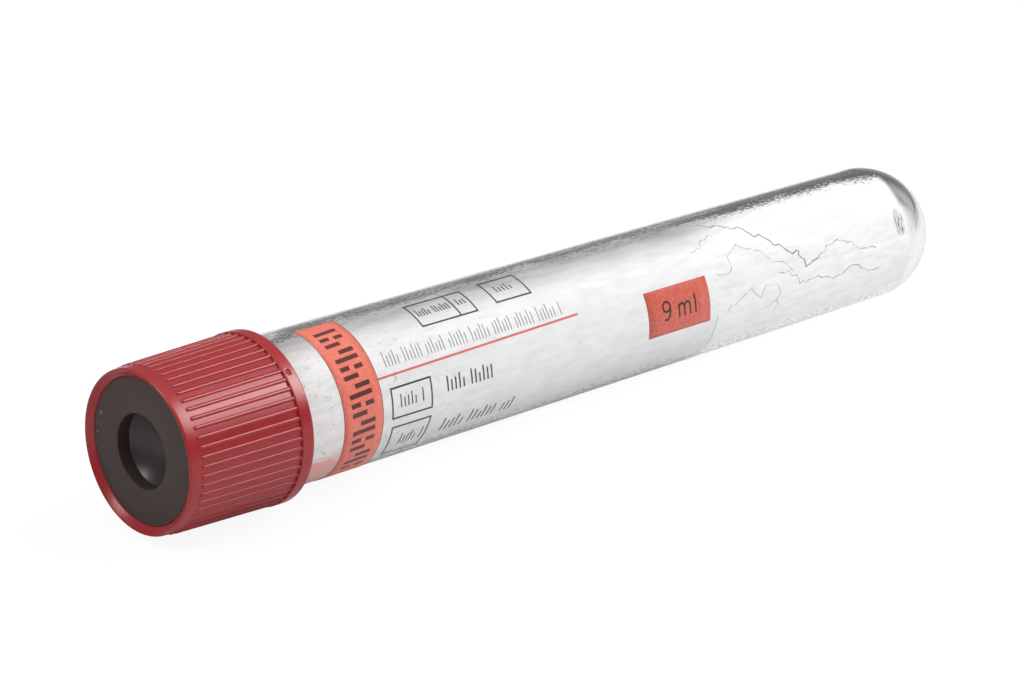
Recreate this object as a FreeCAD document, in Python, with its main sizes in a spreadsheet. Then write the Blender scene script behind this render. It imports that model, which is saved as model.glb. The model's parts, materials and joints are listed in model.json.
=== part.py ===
"""Evacuated blood collection tube, 16 x 100 mm, lying as it comes to rest.

Every sub-part is a turned form, drawn as a half section in its body's own frame: the x axis is
the tube's axis, with x = 0 at the front plane of the cap and x growing towards the round end.
One placement then lays each body down, so that the cap's collar and the round end both touch the
ground z = 0, with the origin under the middle of the object.

Lengths are millimetres and angles are degrees. An angle about the tube's axis counts from the top
of the lying tube towards its -Y side.
"""

import FreeCAD, Part
import math
import os

import Sketcher

SIZES = {
    # tube, moulded in clear PET
    "tube_length": (100, "mouth to round end"),
    "mouth_outer_radius": (7.87, "outside radius at the mouth"),
    "end_outer_radius": (7.27, "outside radius of the round end"),
    "wall_thickness": (1.1, "wall, the same all the way down"),
    "rim_chamfer": (0.2, "chamfers of the mouth's rim"),
    "gate_radius": (1.0, "moulding gate's disc at the tip of the round end"),
    "gate_height": (0.15, "how far the gate's disc stands proud"),
    # cap, moulded in red polyethylene
    "cap_length": (15.05, "front lip to the end of the skirt"),
    "mouth_depth": (8.25, "front lip of the cap to the tube's mouth"),
    "cap_front_radius": (8.44, "outside between the ribs, at the front"),
    "cap_rear_radius": (8.72, "outside between the ribs, at the collar"),
    "lip_slope": (0.5, "how far the lip's face slopes back to the bore"),
    "lip_edge_radius": (8.27, "foremost edge of the lip"),
    "lip_rounding": (0.3, "lip's edge rounded to the outside, made in two slopes"),
    "cap_bore_radius": (7.5, "bore that holds the ring and the stopper"),
    "cap_bore_depth": (8.05, "front lip to the step into the skirt"),
    "skirt_bore_radius": (8.0, "bore of the skirt round the tube"),
    "collar_radius": (8.95, "plain collar at the rear of the cap"),
    "collar_start": (13.5, "front lip to the collar"),
    "collar_chamfer": (0.25, "chamfer of the skirt's rear edge"),
    "pit_radius": (0.3, "small moulding pit in the collar"),
    "pit_floor_radius": (0.15, "floor of the pit"),
    "pit_depth": (0.2, "pit"),
    "pit_position": (14.15, "front lip to the pit"),
    "pit_angle": (41, "pit, about the tube's axis"),
    # grip ribs of the cap
    "rib_count": (54, "ribs round the cap"),
    "rib_start": (1.37, "front lip to a rib's front end"),
    "rib_half_width": (0.22, "half width of a rib"),
    "rib_height": (0.16, "crest of a rib above the wall between the ribs"),
    "rib_flank": (0.04, "straight flank of a rib below its round crest"),
    "rib_root": (0.2, "how deep a rib is rooted in the wall"),
    "rib_run_in": (0.3, "how far a rib goes on inside the collar"),
    "rib_angle": (5.4, "first rib, about the tube's axis"),
    # black retaining ring in the front of the cap
    "ring_recess": (0.55, "front lip down to the ring's face"),
    "ring_thickness": (1.45, "ring, front to back"),
    "well_radius": (3.83, "hole in the ring for the needle"),
    "well_chamfer": (0.1, "chamfer of the hole's front edge"),
    # stopper, moulded in black butyl rubber
    "seat_gap": (0.05, "stopper's flange above the tube's mouth"),
    "dish_depth": (1.5, "round dish that the needle goes into"),
    "plug_clearance": (0.03, "plug to the tube's bore, on the radius"),
    "plug_end": (14.45, "front lip of the cap to the end of the plug"),
    "plug_chamfer": (0.5, "lead-in chamfer at the plug's end"),
    "hollow_radius": (4.2, "hollow in the underside of the plug"),
    "hollow_depth": (6.6, "end of the plug to the top of its hollow"),
    # clear film label with its printed fields
    "label_start": (19.6, "front lip of the cap to the label"),
    "label_end": (71.45, "front lip of the cap to the label's far end"),
    "label_thickness": (0.06, "film"),
    "label_angle": (0, "label's first edge, about the tube's axis"),
    "label_wrap": (300, "how far the label goes round"),
    "print_thickness": (0.04, "printed field on the film"),
    "band_end": (24.65, "front lip of the cap to the end of the colour band"),
    "field_start": (61.3, "front lip of the cap to the volume field"),
    "field_end": (70.3, "front lip of the cap to the volume field's far end"),
    "field_angle": (58, "volume field's first edge, about the tube's axis"),
    "field_wrap": (38, "how far the volume field goes round"),
}

# Where the round end's centre is, and the tube's outside radius at any place x along the axis.
TIP = "(sizes.mouth_depth + sizes.tube_length)"
END_CENTRE = f"({TIP} - sizes.end_outer_radius)"
DRAFT = (
    f"((sizes.mouth_outer_radius - sizes.end_outer_radius) / ({END_CENTRE} - sizes.mouth_depth))"
)
COLLAR_REST = "(sizes.cap_length - sizes.collar_chamfer)"

doc = FreeCAD.newDocument("blood_collection_tube")


def outer_radius(place):
    """The tube's drafted outside radius at the expression place."""
    return f"(sizes.mouth_outer_radius - {DRAFT} * ({place} - sizes.mouth_depth))"


def bore_radius(place):
    """The radius of the tube's bore at the expression place."""
    return f"({outer_radius(place)} - sizes.wall_thickness)"


def make_sheet():
    """The driving dimensions, one row each: name, number and what it is."""
    sheet = doc.addObject("Spreadsheet::Sheet", "sizes")
    for row, (alias, (number, meaning)) in enumerate(SIZES.items(), start=1):
        sheet.set(f"A{row}", alias)
        sheet.set(f"B{row}", str(number))
        sheet.set(f"C{row}", meaning)
        sheet.setAlias(f"B{row}", alias)
    doc.recompute()


def rotation(axis, angle):
    """An expression for a turn of angle about an axis given as three numbers."""
    x, y, z = axis
    return f"create(<<rotation>>; create(<<vector>>; {x}; {y}; {z}); {angle})"


def placement(x, y, z, turn):
    """An expression for a placement at x, y, z with the turn given by rotation()."""
    return f"create(<<placement>>; create(<<vector>>; {x}; {y}; {z}); {turn})"


def turned(angle):
    """An expression for a placement that only turns by angle about the tube's axis."""
    return placement(0, 0, 0, rotation((1, 0, 0), angle))


def lying():
    """The placement of the whole object, resting on the cap's collar and the round end.

    The axis slopes down towards the round end by the angle at which the collar's rear edge and
    the sphere of the round end touch one level plane.
    """
    span = f"({END_CENTRE} - {COLLAR_REST})"
    slope = (
        f"(atan(sizes.collar_radius / {span})"
        f" - asin(sizes.end_outer_radius / sqrt({span}^2 + sizes.collar_radius^2)))"
    )
    length = f"({TIP} + sizes.gate_height)"
    middle = f"(-{length} / 2 * cos({slope}) + sizes.lip_edge_radius / 2 * sin({slope}))"
    height = f"(sizes.end_outer_radius + {END_CENTRE} * sin({slope}))"
    return placement(middle, 0, height, rotation((0, 1, 0), slope))


def new_body(label, turn="0"):
    """A body that lies with the others, turned about the tube's axis by turn."""
    body = doc.addObject("PartDesign::Body", label)
    body.Label = label
    body.setExpression("Placement", f"{lying()} * {turned(turn)}")
    return body


def origin_feature(body, role):
    return next(f for f in body.Origin.OriginFeatures if f.Role == role)


def half_section(body, name, corners, plane="XZ_Plane", offset=None):
    """A closed sketch on one of the body's origin planes, through the corners in order.

    A corner is (x, radius) for a straight edge that arrives there, or (x, radius, rounding,
    turn) for an arc that arrives there with that rounding, where turn is 1 for an arc that
    turns left and -1 for one that turns right. Each size is an expression.
    """
    sketch = body.newObject("Sketcher::SketchObject", name)
    sketch.AttachmentSupport = (origin_feature(body, plane), [""])
    sketch.MapMode = "FlatFace"
    if offset:
        sketch.setExpression("AttachmentOffset", offset)
    points = [
        FreeCAD.Vector(*(float(sketch.evalExpression(size)) for size in corner[:2]), 0)
        for corner in corners
    ]
    vertices = []
    for index, corner in enumerate(corners):
        start, end = points[index - 1], points[index]
        if len(corner) == 2:
            edge = sketch.addGeometry(straight_edge(start, end), False)
            vertices.append((edge, 1, 2))
            continue
        radius, turn = float(sketch.evalExpression(corner[2])), corner[3]
        edge = sketch.addGeometry(arc_between(start, end, radius, turn), False)
        vertices.append((edge, 1, 2) if turn > 0 else (edge, 2, 1))
        limit = sketch.addConstraint(Sketcher.Constraint("Radius", edge, radius))
        sketch.setExpression(f"Constraints[{limit}]", corner[2])
    for index, corner in enumerate(corners):
        edge, _, last = vertices[index]
        following, first, _ = vertices[(index + 1) % len(corners)]
        sketch.addConstraint(Sketcher.Constraint("Coincident", edge, last, following, first))
        for kind, axis, size, value in (
            ("DistanceX", -2, corner[0], points[index].x),
            ("DistanceY", -1, corner[1], points[index].y),
        ):
            if size == "0":
                sketch.addConstraint(Sketcher.Constraint("PointOnObject", edge, last, axis))
                continue
            limit = sketch.addConstraint(Sketcher.Constraint(kind, -1, 1, edge, last, value))
            sketch.setExpression(f"Constraints[{limit}]", size)
    return sketch


def straight_edge(start, end):
    """A straight edge. A drafted one is a spline of one span, whose turned wall needs few facets."""
    if start.x == end.x or start.y == end.y:
        return Part.LineSegment(start, end)
    return Part.BSplineCurve([start, end], None, None, False, 1, None, False)


def arc_between(start, end, radius, turn):
    """The shorter arc from start to end that turns left (1) or right (-1)."""
    chord = end - start
    reach = math.sqrt(max(radius**2 - (chord.Length / 2) ** 2, 0))
    side = FreeCAD.Vector(-chord.y, chord.x, 0).normalize() * turn
    centre = (start + end) / 2 + side * reach
    circle = Part.Circle(centre, FreeCAD.Vector(0, 0, 1), radius)
    angles = [math.atan2(p.y - centre.y, p.x - centre.x) for p in (start, end)]
    if turn < 0:
        angles.reverse()
    return Part.ArcOfCircle(circle, *angles)


def revolve(body, name, sketch, angle="360", axis=None):
    """Turn the sketch's outline about the tube's axis, or about the axis given."""
    feature = body.newObject("PartDesign::Revolution", name)
    feature.Profile = sketch
    feature.ReferenceAxis = axis or (origin_feature(body, "X_Axis"), [""])
    feature.setExpression("Angle", angle)
    return feature


def make_tube():
    """Drafted tube with a round end, a rounded rim and the disc of its moulding gate."""
    body = new_body("tube")
    end_bore = "(sizes.end_outer_radius - sizes.wall_thickness)"
    gate_root = f"({END_CENTRE} + sqrt(sizes.end_outer_radius^2 - sizes.gate_radius^2))"
    rim_outer = outer_radius("sizes.mouth_depth")
    rim_inner = bore_radius("sizes.mouth_depth")
    past_rim = "(sizes.mouth_depth + sizes.rim_chamfer)"
    section = half_section(
        body,
        "tube_section",
        [
            ("sizes.mouth_depth", f"{rim_inner} + sizes.rim_chamfer"),
            ("sizes.mouth_depth", f"{rim_outer} - sizes.rim_chamfer"),
            (past_rim, outer_radius(past_rim)),
            (END_CENTRE, "sizes.end_outer_radius"),
            (gate_root, "sizes.gate_radius", "sizes.end_outer_radius", -1),
            (f"{TIP} + sizes.gate_height", "sizes.gate_radius"),
            (f"{TIP} + sizes.gate_height", "0"),
            (f"{END_CENTRE} + {end_bore}", "0"),
            (END_CENTRE, end_bore, end_bore, 1),
            (past_rim, bore_radius(past_rim)),
        ],
    )
    revolve(body, "tube_wall", section)
    return body


def make_cap():
    """Cap with a sloping lip, a stepped bore, a plain collar and grip ribs all round."""
    body = new_body("cap", turn="sizes.rib_angle")
    lip_drop = "(sizes.cap_front_radius - sizes.lip_edge_radius)"
    lip_middle = f"sizes.lip_edge_radius + {lip_drop} * sin(45)"
    section = half_section(
        body,
        "cap_section",
        [
            ("sizes.lip_slope", "sizes.cap_bore_radius"),
            ("0", "sizes.lip_edge_radius"),
            ("sizes.lip_rounding * (1 - cos(45))", lip_middle),
            ("sizes.lip_rounding", "sizes.cap_front_radius"),
            ("sizes.collar_start", "sizes.cap_rear_radius"),
            ("sizes.collar_start", "sizes.collar_radius"),
            (COLLAR_REST, "sizes.collar_radius"),
            ("sizes.cap_length", "sizes.collar_radius - sizes.collar_chamfer"),
            ("sizes.cap_length", "sizes.skirt_bore_radius"),
            ("sizes.cap_bore_depth", "sizes.skirt_bore_radius"),
            ("sizes.cap_bore_depth", "sizes.cap_bore_radius"),
        ],
        plane="XY_Plane",
    )
    revolve(body, "cap_shell", section)
    add_ribs(body)
    add_pit(body)
    return body


def add_ribs(body):
    """Grip ribs: one bar with a round crest, along the drafted wall and repeated round it."""
    draft = "((sizes.cap_rear_radius - sizes.cap_front_radius) / sizes.collar_start)"
    rib_end = "(sizes.collar_start + sizes.rib_run_in)"
    along = placement(
        0,
        f"sizes.cap_front_radius + {draft} * sizes.rib_start",
        "sizes.rib_start",
        rotation((1, 0, 0), f"-atan({draft})"),
    )
    rise = "(sizes.rib_height - sizes.rib_flank)"
    crest_radius = f"((sizes.rib_half_width^2 + {rise}^2) / (2 * {rise}))"
    section = half_section(
        body,
        "rib_section",
        [
            ("-sizes.rib_half_width", "-sizes.rib_root"),
            ("-sizes.rib_half_width", "sizes.rib_flank"),
            ("sizes.rib_half_width", "sizes.rib_flank", crest_radius, -1),
            ("sizes.rib_half_width", "-sizes.rib_root"),
        ],
        plane="YZ_Plane",
        offset=along,
    )
    rib = body.newObject("PartDesign::Pad", "rib")
    rib.Profile = section
    rib.setExpression("Length", f"({rib_end} - sizes.rib_start) / cos(atan({draft}))")
    doc.recompute()
    ribs = body.newObject("PartDesign::PolarPattern", "ribs")
    ribs.Originals = [rib]
    ribs.Axis = (origin_feature(body, "X_Axis"), [""])
    ribs.Angle = 360
    ribs.setExpression("Occurrences", "sizes.rib_count")
    body.Tip = ribs


def add_pit(body):
    """The small pit that moulding leaves in the collar."""
    doc.recompute()
    pit = body.newObject("PartDesign::SubtractiveCone", "moulding_pit")
    pit.setExpression("Radius1", "sizes.pit_floor_radius")
    pit.setExpression("Radius2", "sizes.pit_radius")
    pit.setExpression("Height", "sizes.pit_depth")
    pit.AttachmentSupport = (origin_feature(body, "XY_Plane"), [""])
    pit.MapMode = "FlatFace"
    floor = "sizes.collar_radius - sizes.pit_depth"
    outward = placement("sizes.pit_position", 0, floor, rotation((1, 0, 0), 0))
    angle = turned("sizes.pit_angle - sizes.rib_angle")
    pit.setExpression("AttachmentOffset", f"{angle} * {outward}")
    body.Tip = pit


def make_ring():
    """Flat retaining ring, pressed into the cap's bore over the stopper."""
    body = new_body("cap_ring")
    rear = "(sizes.ring_recess + sizes.ring_thickness)"
    section = half_section(
        body,
        "ring_section",
        [
            ("sizes.ring_recess", "sizes.cap_bore_radius"),
            (rear, "sizes.cap_bore_radius"),
            (rear, "sizes.well_radius"),
            ("sizes.ring_recess + sizes.well_chamfer", "sizes.well_radius"),
            ("sizes.ring_recess", "sizes.well_radius + sizes.well_chamfer"),
        ],
    )
    revolve(body, "ring", section)
    return body


def make_stopper():
    """Rubber stopper: a flange in the cap, a plug in the tube, a dish above, a hollow below."""
    body = new_body("stopper")
    front = "(sizes.ring_recess + sizes.ring_thickness)"
    seat = "(sizes.mouth_depth - sizes.seat_gap)"
    dish_sphere = "((sizes.well_radius^2 + sizes.dish_depth^2) / (2 * sizes.dish_depth))"
    chamfer_start = "(sizes.plug_end - sizes.plug_chamfer)"
    hollow_top = "(sizes.plug_end - sizes.hollow_depth)"

    def plug_radius(place):
        return f"({bore_radius(place)} - sizes.plug_clearance)"

    section = half_section(
        body,
        "stopper_section",
        [
            (front, "sizes.cap_bore_radius"),
            (seat, "sizes.cap_bore_radius"),
            (seat, plug_radius(seat)),
            (chamfer_start, plug_radius(chamfer_start)),
            ("sizes.plug_end", f"{plug_radius(chamfer_start)} - sizes.plug_chamfer"),
            ("sizes.plug_end", "sizes.hollow_radius"),
            (hollow_top, "sizes.hollow_radius"),
            (hollow_top, "0"),
            (f"{front} + sizes.dish_depth", "0"),
            (front, "sizes.well_radius", dish_sphere, 1),
        ],
    )
    revolve(body, "stopper_form", section)
    return body


def wrapped_layer(label, start, end, lift, thickness, angle, wrap):
    """A thin layer on the tube's outside, from start to end, that goes part of the way round."""
    body = new_body(label)
    section = half_section(
        body,
        f"{label}_section",
        [
            (start, f"{outer_radius(start)} + {lift}"),
            (start, f"{outer_radius(start)} + {lift} + {thickness}"),
            (end, f"{outer_radius(end)} + {lift} + {thickness}"),
            (end, f"{outer_radius(end)} + {lift}"),
        ],
        offset=turned(angle),
    )
    revolve(body, f"{label}_layer", section, angle=wrap)
    return body


def make_label():
    """The clear film that carries the print."""
    return wrapped_layer(
        "label",
        "sizes.label_start",
        "sizes.label_end",
        "0",
        "sizes.label_thickness",
        "sizes.label_angle",
        "sizes.label_wrap",
    )


def make_band():
    """The red colour band printed along the label's edge nearest the cap."""
    return wrapped_layer(
        "label_band",
        "sizes.label_start",
        "sizes.band_end",
        "sizes.label_thickness",
        "sizes.print_thickness",
        "sizes.label_angle",
        "sizes.label_wrap",
    )


def make_field():
    """The red field that gives the tube's volume."""
    return wrapped_layer(
        "volume_field",
        "sizes.field_start",
        "sizes.field_end",
        "sizes.label_thickness",
        "sizes.print_thickness",
        "sizes.field_angle",
        "sizes.field_wrap",
    )


def check_document():
    for item in doc.Objects:
        if {"Invalid", "Error"} & set(item.State):
            raise RuntimeError(f"{item.Label} did not compute: {item.State}")


def write_parts(bodies):
    os.makedirs("parts", exist_ok=True)
    for body in bodies:
        if body.Shape.isNull() or not body.Shape.isValid():
            raise RuntimeError(f"{body.Label} has no valid shape")
        body.Shape.exportStep(f"parts/{body.Label}.step")
        box = body.Shape.BoundBox
        print(
            f"{body.Label}: {body.Shape.Volume:.2f} mm3,"
            f" x {box.XMin:.2f}..{box.XMax:.2f}, z {box.ZMin:.2f}..{box.ZMax:.2f}"
        )


make_sheet()
parts = [
    make_tube(),
    make_label(),
    make_band(),
    make_field(),
    make_cap(),
    make_ring(),
    make_stopper(),
]
doc.recompute()
check_document()
write_parts(parts)
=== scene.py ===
"""Looks of an evacuated blood collection tube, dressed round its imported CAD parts."""

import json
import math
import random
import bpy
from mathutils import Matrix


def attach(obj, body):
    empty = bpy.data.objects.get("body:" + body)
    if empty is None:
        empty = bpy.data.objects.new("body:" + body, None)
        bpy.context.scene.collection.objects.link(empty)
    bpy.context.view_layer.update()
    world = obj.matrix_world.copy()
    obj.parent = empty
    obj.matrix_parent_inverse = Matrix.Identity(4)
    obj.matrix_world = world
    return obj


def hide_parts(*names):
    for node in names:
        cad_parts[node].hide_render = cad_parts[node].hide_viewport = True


bl_info = {
    "name": "Blood Collection Tube",
    "version": (1, 0, 0),
    "blender": (4, 5, 0),
    "location": "View3D > Sidebar > Tube",
    "description": "Builds the looks of a sample tube: clear wall, dried coat, printed label and closure",
    "category": "Object",
}

from types import SimpleNamespace

import bmesh
import bpy
from mathutils import Matrix, Vector

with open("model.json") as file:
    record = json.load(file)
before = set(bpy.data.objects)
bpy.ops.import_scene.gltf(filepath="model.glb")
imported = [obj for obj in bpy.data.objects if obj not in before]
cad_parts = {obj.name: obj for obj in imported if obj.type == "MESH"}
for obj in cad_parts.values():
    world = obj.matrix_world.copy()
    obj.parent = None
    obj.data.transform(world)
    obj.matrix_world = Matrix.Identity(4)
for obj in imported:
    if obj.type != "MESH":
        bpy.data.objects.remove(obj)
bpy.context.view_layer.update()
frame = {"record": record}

MM = 0.001
SHARP = 38.0  # degrees between facets from which an edge shows as an edge
BARREL_PLACE = 45.0  # mm along the tube's axis from the cap's front plane to the barrel mount

# Sizes in mm and degrees: places run along the axis from the cap's front plane, angles about it
# from the top towards the near side. They are those of the part's own sheet, but the collar and
# the pit are a hair smaller, to stay inside the solids, and the volume field is turned a degree.
MOUTH, TIP, END_CENTRE = 8.25, 108.25, 100.98
MOUTH_RADIUS, END_RADIUS, WALL, RIM_ROUNDING = 7.87, 7.27, 1.1, 0.3
GATE_RADIUS, GATE_HEIGHT, GATE_ROUNDING = 1.0, 0.15, 0.04
CAP_LENGTH, CAP_BORE, CAP_BORE_DEPTH, SKIRT_BORE = 15.05, 7.5, 8.05, 8.0
LIP_FRONT, LIP_SLOPE, LIP_EDGE, LIP_ROUNDING = 0.002, 0.5, 8.27, 0.3
CAP_FRONT, CAP_REAR, FIRST_RIB = 8.44, 8.72, 5.4
COLLAR_START, COLLAR, COLLAR_ROUNDING = 13.5, 8.944, 0.25
PIT_PLACE, PIT_ANGLE, PIT_RADIUS, PIT_DEPTH = 14.15, 41.0, 0.28, 0.15
RING_FACE, RING_BACK, RING_ROUNDING, WELL, WELL_ROUNDING = 0.55, 2.0, 0.08, 3.83, 0.1
DISH_DEPTH, SEAT, PLUG_END, PLUG_CLEARANCE, PLUG_CHAMFER = 1.5, 8.2, 14.45, 0.03, 0.5
HOLLOW_RADIUS, HOLLOW_TOP = 4.2, 7.85
LABEL_START, LABEL_END, LABEL_WRAP = 19.6, 71.45, 300.0
BAND_END, BAND_WRAP = 24.65, 296.0
FIELD_START, FIELD_END, FIELD_ANGLE, FIELD_WRAP = 61.3, 70.3, 59.0, 38.0
# Lifts above the wall's outside in mm: film, printed field, fine print on it.
FILM, FIELD, PRINT = 0.03, 0.045, 0.06

# The dried coat, in the same mm and degrees.
COAT_END = 101.8  # the sprayed coat stops
COAT_REAR = (70, 84)  # it gets thinner along the top
COAT_TURN = (96, 101)  # its pattern follows the round end
CRACK_LIFT = 0.015 - WALL  # the cracks lie just outside the bore
BORE_DEGREE = 0.11  # mm round the bore in a degree
OVAL_PLACE, OVAL_ANGLE = 100.65, 63.6  # middle of the painted image of the gate
BAND_PAINTED = (24.2, 23.4)  # the band's far side is painted into the coat from here towards the mouth

# The studio. Strengths are of the light that comes from each direction, with 1 as white.
AMBIENT, CEILING = 0.28, 1.1  # all round the object, and what is added overhead
SOFT_BOX_PEAK = 3.2  # middle of a soft box against its mean
KEY_PLACE, FILL_PLACE = (0.62, -0.46, 0.635), (-0.7, 0.16, 0.7)
FLOOR_HALF = 3.0  # m
CAMERA_LENS, SENSOR_WIDTH, CAMERA_DISTANCE = 161.754, 36.0, 477.155  # mm
CAMERA_TURN, CAMERA_RISE = -42.034, 21.4  # degrees
CAMERA_AIM = (-5.116, 0, 8.008)  # mm


def barrel():
    """The record's mount on the tube's axis."""
    return next(m for m in frame["record"]["mounts"] if m["name"] == "barrel")


def lying():
    """Row frame from the tube's own frame: x along the axis from the cap's front, z up."""
    mount = barrel()
    along = Vector(mount["axis"]).normalized()
    side = Vector((0, 1, 0))
    up = along.cross(side)
    origin = Vector(mount["pos_m"]) - along * BARREL_PLACE * MM
    turn = Matrix((along, side, up)).transposed().to_4x4()
    return Matrix.Translation(origin) @ turn


LYING = lying()


def wall_radius(place):
    """The tube's outside radius in mm at a place along its axis."""
    if place > END_CENTRE:
        return math.sqrt(max(END_RADIUS**2 - (place - END_CENTRE) ** 2, 0))
    draft = (MOUTH_RADIUS - END_RADIUS) / (END_CENTRE - MOUTH)
    return MOUTH_RADIUS - draft * (place - MOUTH)


def at(place, radius, angle):
    """A point of the model: mm along the tube's axis, mm from it, degrees from the top."""
    turn = math.radians(angle)
    return LYING @ (Vector((place, -radius * math.sin(turn), radius * math.cos(turn))) * MM)


# ---- properties


def linear(code):
    """The linear RGBA of an sRGB hex code such as #B03038."""
    parts = [int(code[i : i + 2], 16) / 255 for i in (1, 3, 5)]
    return (*(p / 12.92 if p <= 0.04045 else ((p + 0.055) / 1.055) ** 2.4 for p in parts), 1)


def tone(name, description, code):
    """A colour property, with an sRGB hex code as its default."""
    return bpy.props.FloatVectorProperty(
        name=name, description=description, default=linear(code), size=4, subtype="COLOR",
        min=0, max=1,
    )


class TubeSettings(bpy.types.PropertyGroup):
    """The sizes, colours and lamps that the looks are built from."""

    wall_columns: bpy.props.IntProperty(
        name="Wall columns", description="Facets round the clear wall", default=192
    )
    rib_count: bpy.props.IntProperty(
        name="Ribs", description="Grip ribs round the cap", default=54
    )
    rib_half_width: bpy.props.FloatProperty(
        name="Rib half width", description="Half width of a grip rib",
        default=0.00022, unit="LENGTH",
    )
    rib_height: bpy.props.FloatProperty(
        name="Rib height", description="Crest of a rib above the wall between ribs",
        default=0.00014, unit="LENGTH",
    )
    rib_start: bpy.props.FloatProperty(
        name="Rib start", description="Front lip to the middle of a rib's round end",
        default=0.00159, unit="LENGTH",
    )
    label_skew: bpy.props.FloatProperty(
        name="Label skew", description="How far the label slips along the tube in one turn",
        default=0.0006, unit="LENGTH",
    )
    line_width: bpy.props.FloatProperty(
        name="Line width", description="Printed outlines", default=0.0002, unit="LENGTH"
    )
    crack_width: bpy.props.FloatProperty(
        name="Crack width", description="Cracks in the dried coat", default=0.00009, unit="LENGTH"
    )
    cap_tone: tone("Cap", "Red of the cap", "#94191F")
    cap_pale: tone("Cap, paler", "Red of the cap's paler patches", "#9E1E23")
    ring_tone: tone("Ring", "Black of the retaining ring", "#302320")
    ring_pale: tone("Ring, paler", "Black of the ring's paler patches", "#372825")
    band_tone: tone("Band", "Ink of the colour band", "#DD6A58")
    band_pale: tone("Band, worn", "Ink of the colour band where it is thin", "#E78A78")
    field_tone: tone("Field", "Ink of the volume field and the rule", "#C85446")
    field_pale: tone("Field, worn", "Ink of the volume field where it is thin", "#D47A6A")
    key_strength: bpy.props.FloatProperty(
        name="Key light", description="Power of the key light", default=2.8, unit="POWER"
    )
    shine_strength: bpy.props.FloatProperty(
        name="Shine", description="Power of the closure's highlight", default=3.0, unit="POWER"
    )
    fill_strength: bpy.props.FloatProperty(
        name="Fill light", description="Power of the fill light", default=1.2, unit="POWER"
    )


# ---- shader nodes

# The inputs of a map range are the value, its two ends and the two results, 0 and 1 if not given.
SMOOTH = {"interpolation_type": "SMOOTHSTEP"}
# Of a mix of colours, input 0 is the share of the second, 6 and 7 are the colours.
COLOURS = {"data_type": "RGBA"}
WHITE = linear("#FFFFFF")


def add(tree, kind, inputs=(), **settings):
    """Add a shader node with its settings, and set its inputs in order, or by name or index.

    A node given as an input is linked from its first output in use, a socket from itself.
    """
    node = tree.nodes.new("ShaderNode" + kind)
    for name, value in settings.items():
        setattr(node, name, value)
    pairs = inputs.items() if isinstance(inputs, dict) else enumerate(inputs)
    for name, value in pairs:
        if isinstance(value, bpy.types.Node):
            value = next(socket for socket in value.outputs if socket.enabled)
        if isinstance(value, bpy.types.NodeSocket):
            tree.links.new(value, node.inputs[name])
        else:
            node.inputs[name].default_value = value
    return node


def new_material(name):
    """An empty node material and its tree."""
    material = bpy.data.materials.new(name)
    material.use_nodes = True
    material.node_tree.nodes.clear()
    return material, material.node_tree


def own_place(tree, stretch=(1, 1, 1)):
    """The place in the tube's own frame, x along the axis, stretched where a pattern is drawn out."""
    place = add(tree, "TexCoord").outputs["Object"]
    lying = {"Vector": place, "Location": LYING.translation, "Rotation": LYING.to_euler()}
    own = add(tree, "Mapping", lying, vector_type="TEXTURE")
    return add(tree, "Mapping", {"Vector": own, "Scale": stretch})


def uneven(tree, size, detail=2.0, stretch=(1, 1, 1), roughness=0.5):
    """An uneven pattern from 0 to 1 in the tube's own frame, with features of this size in mm."""
    settings = {
        "Vector": own_place(tree, stretch),
        "Scale": 1 / (size * MM),
        "Detail": detail,
        "Roughness": roughness,
    }
    return add(tree, "TexNoise", settings)


def on_axis(tree):
    """Where a point is: mm along the axis, and degrees about it from -90 to 270."""
    parts = add(tree, "SeparateXYZ", (own_place(tree),)).outputs
    place = add(tree, "Math", (parts["X"], MM), operation="DIVIDE")
    near = add(tree, "Math", (parts["Y"], -1), operation="MULTIPLY")
    turn = add(tree, "Math", (near, parts["Z"]), operation="ARCTAN2")
    turn = add(tree, "Math", (turn,), operation="DEGREES")
    turn = add(tree, "Math", (turn, 90), operation="ADD")
    turn = add(tree, "Math", (turn, 360), operation="FLOORED_MODULO")
    return place, add(tree, "Math", (turn, 90), operation="SUBTRACT")


def within(tree, value, low, high, soft):
    """1 where the value lies between low and high, fading to 0 over soft outside them."""
    rise = add(tree, "MapRange", (value, low - soft, low), **SMOOTH)
    fall = add(tree, "MapRange", (value, high + soft, high), **SMOOTH)
    return add(tree, "Math", (rise, fall), operation="MULTIPLY")


def clear_to_lamps(tree, shader, tint="#FFFFFF"):
    """Let light from the lamps and from matt surfaces shine straight through a thin clear skin."""
    path = add(tree, "LightPath").outputs
    rays = (path["Is Shadow Ray"], path["Is Diffuse Ray"])
    straight = add(tree, "Math", rays, operation="MAXIMUM")
    through = add(tree, "BsdfTransparent", {"Color": linear(tint)})
    return add(tree, "MixShader", (straight, shader, through))


# ---- materials
#
# Places and pattern sizes are in mm, angles in degrees. Crust grain, tool texture and ink dots are
# really about 0.05 mm across and are drawn two to six times as coarse, so that they show.


def clear_pet():
    """Injection-moulded PET: water-clear, hard gloss with faint flow marks, satin under the film."""
    material, tree = new_material("clear_pet")
    place, angle = on_axis(tree)
    # Angles run from -90 to 270, so the last 30 of the film's 300 degrees stay glossy.
    filmed = within(tree, place, LABEL_START, LABEL_END, 0.1)
    filmed = add(tree, "Math", (filmed, within(tree, angle, 0, 269, 0.5)), operation="MULTIPLY")
    flow = uneven(tree, 6, stretch=(0.3, 1, 1))
    relief = {"Height": flow, "Distance": 0.01 * MM, "Strength": 0.2}
    settings = {
        "Base Color": linear("#FBFBFB"),
        "Roughness": add(tree, "MapRange", (filmed, 0, 1, 0.02, 0.2), **SMOOTH),
        "IOR": 1.57,
        "Transmission Weight": 1.0,
        "Normal": add(tree, "Bump", relief),
    }
    shader = add(tree, "BsdfPrincipled", settings)
    add(tree, "OutputMaterial", {"Surface": clear_to_lamps(tree, shader)})
    return material


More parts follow.
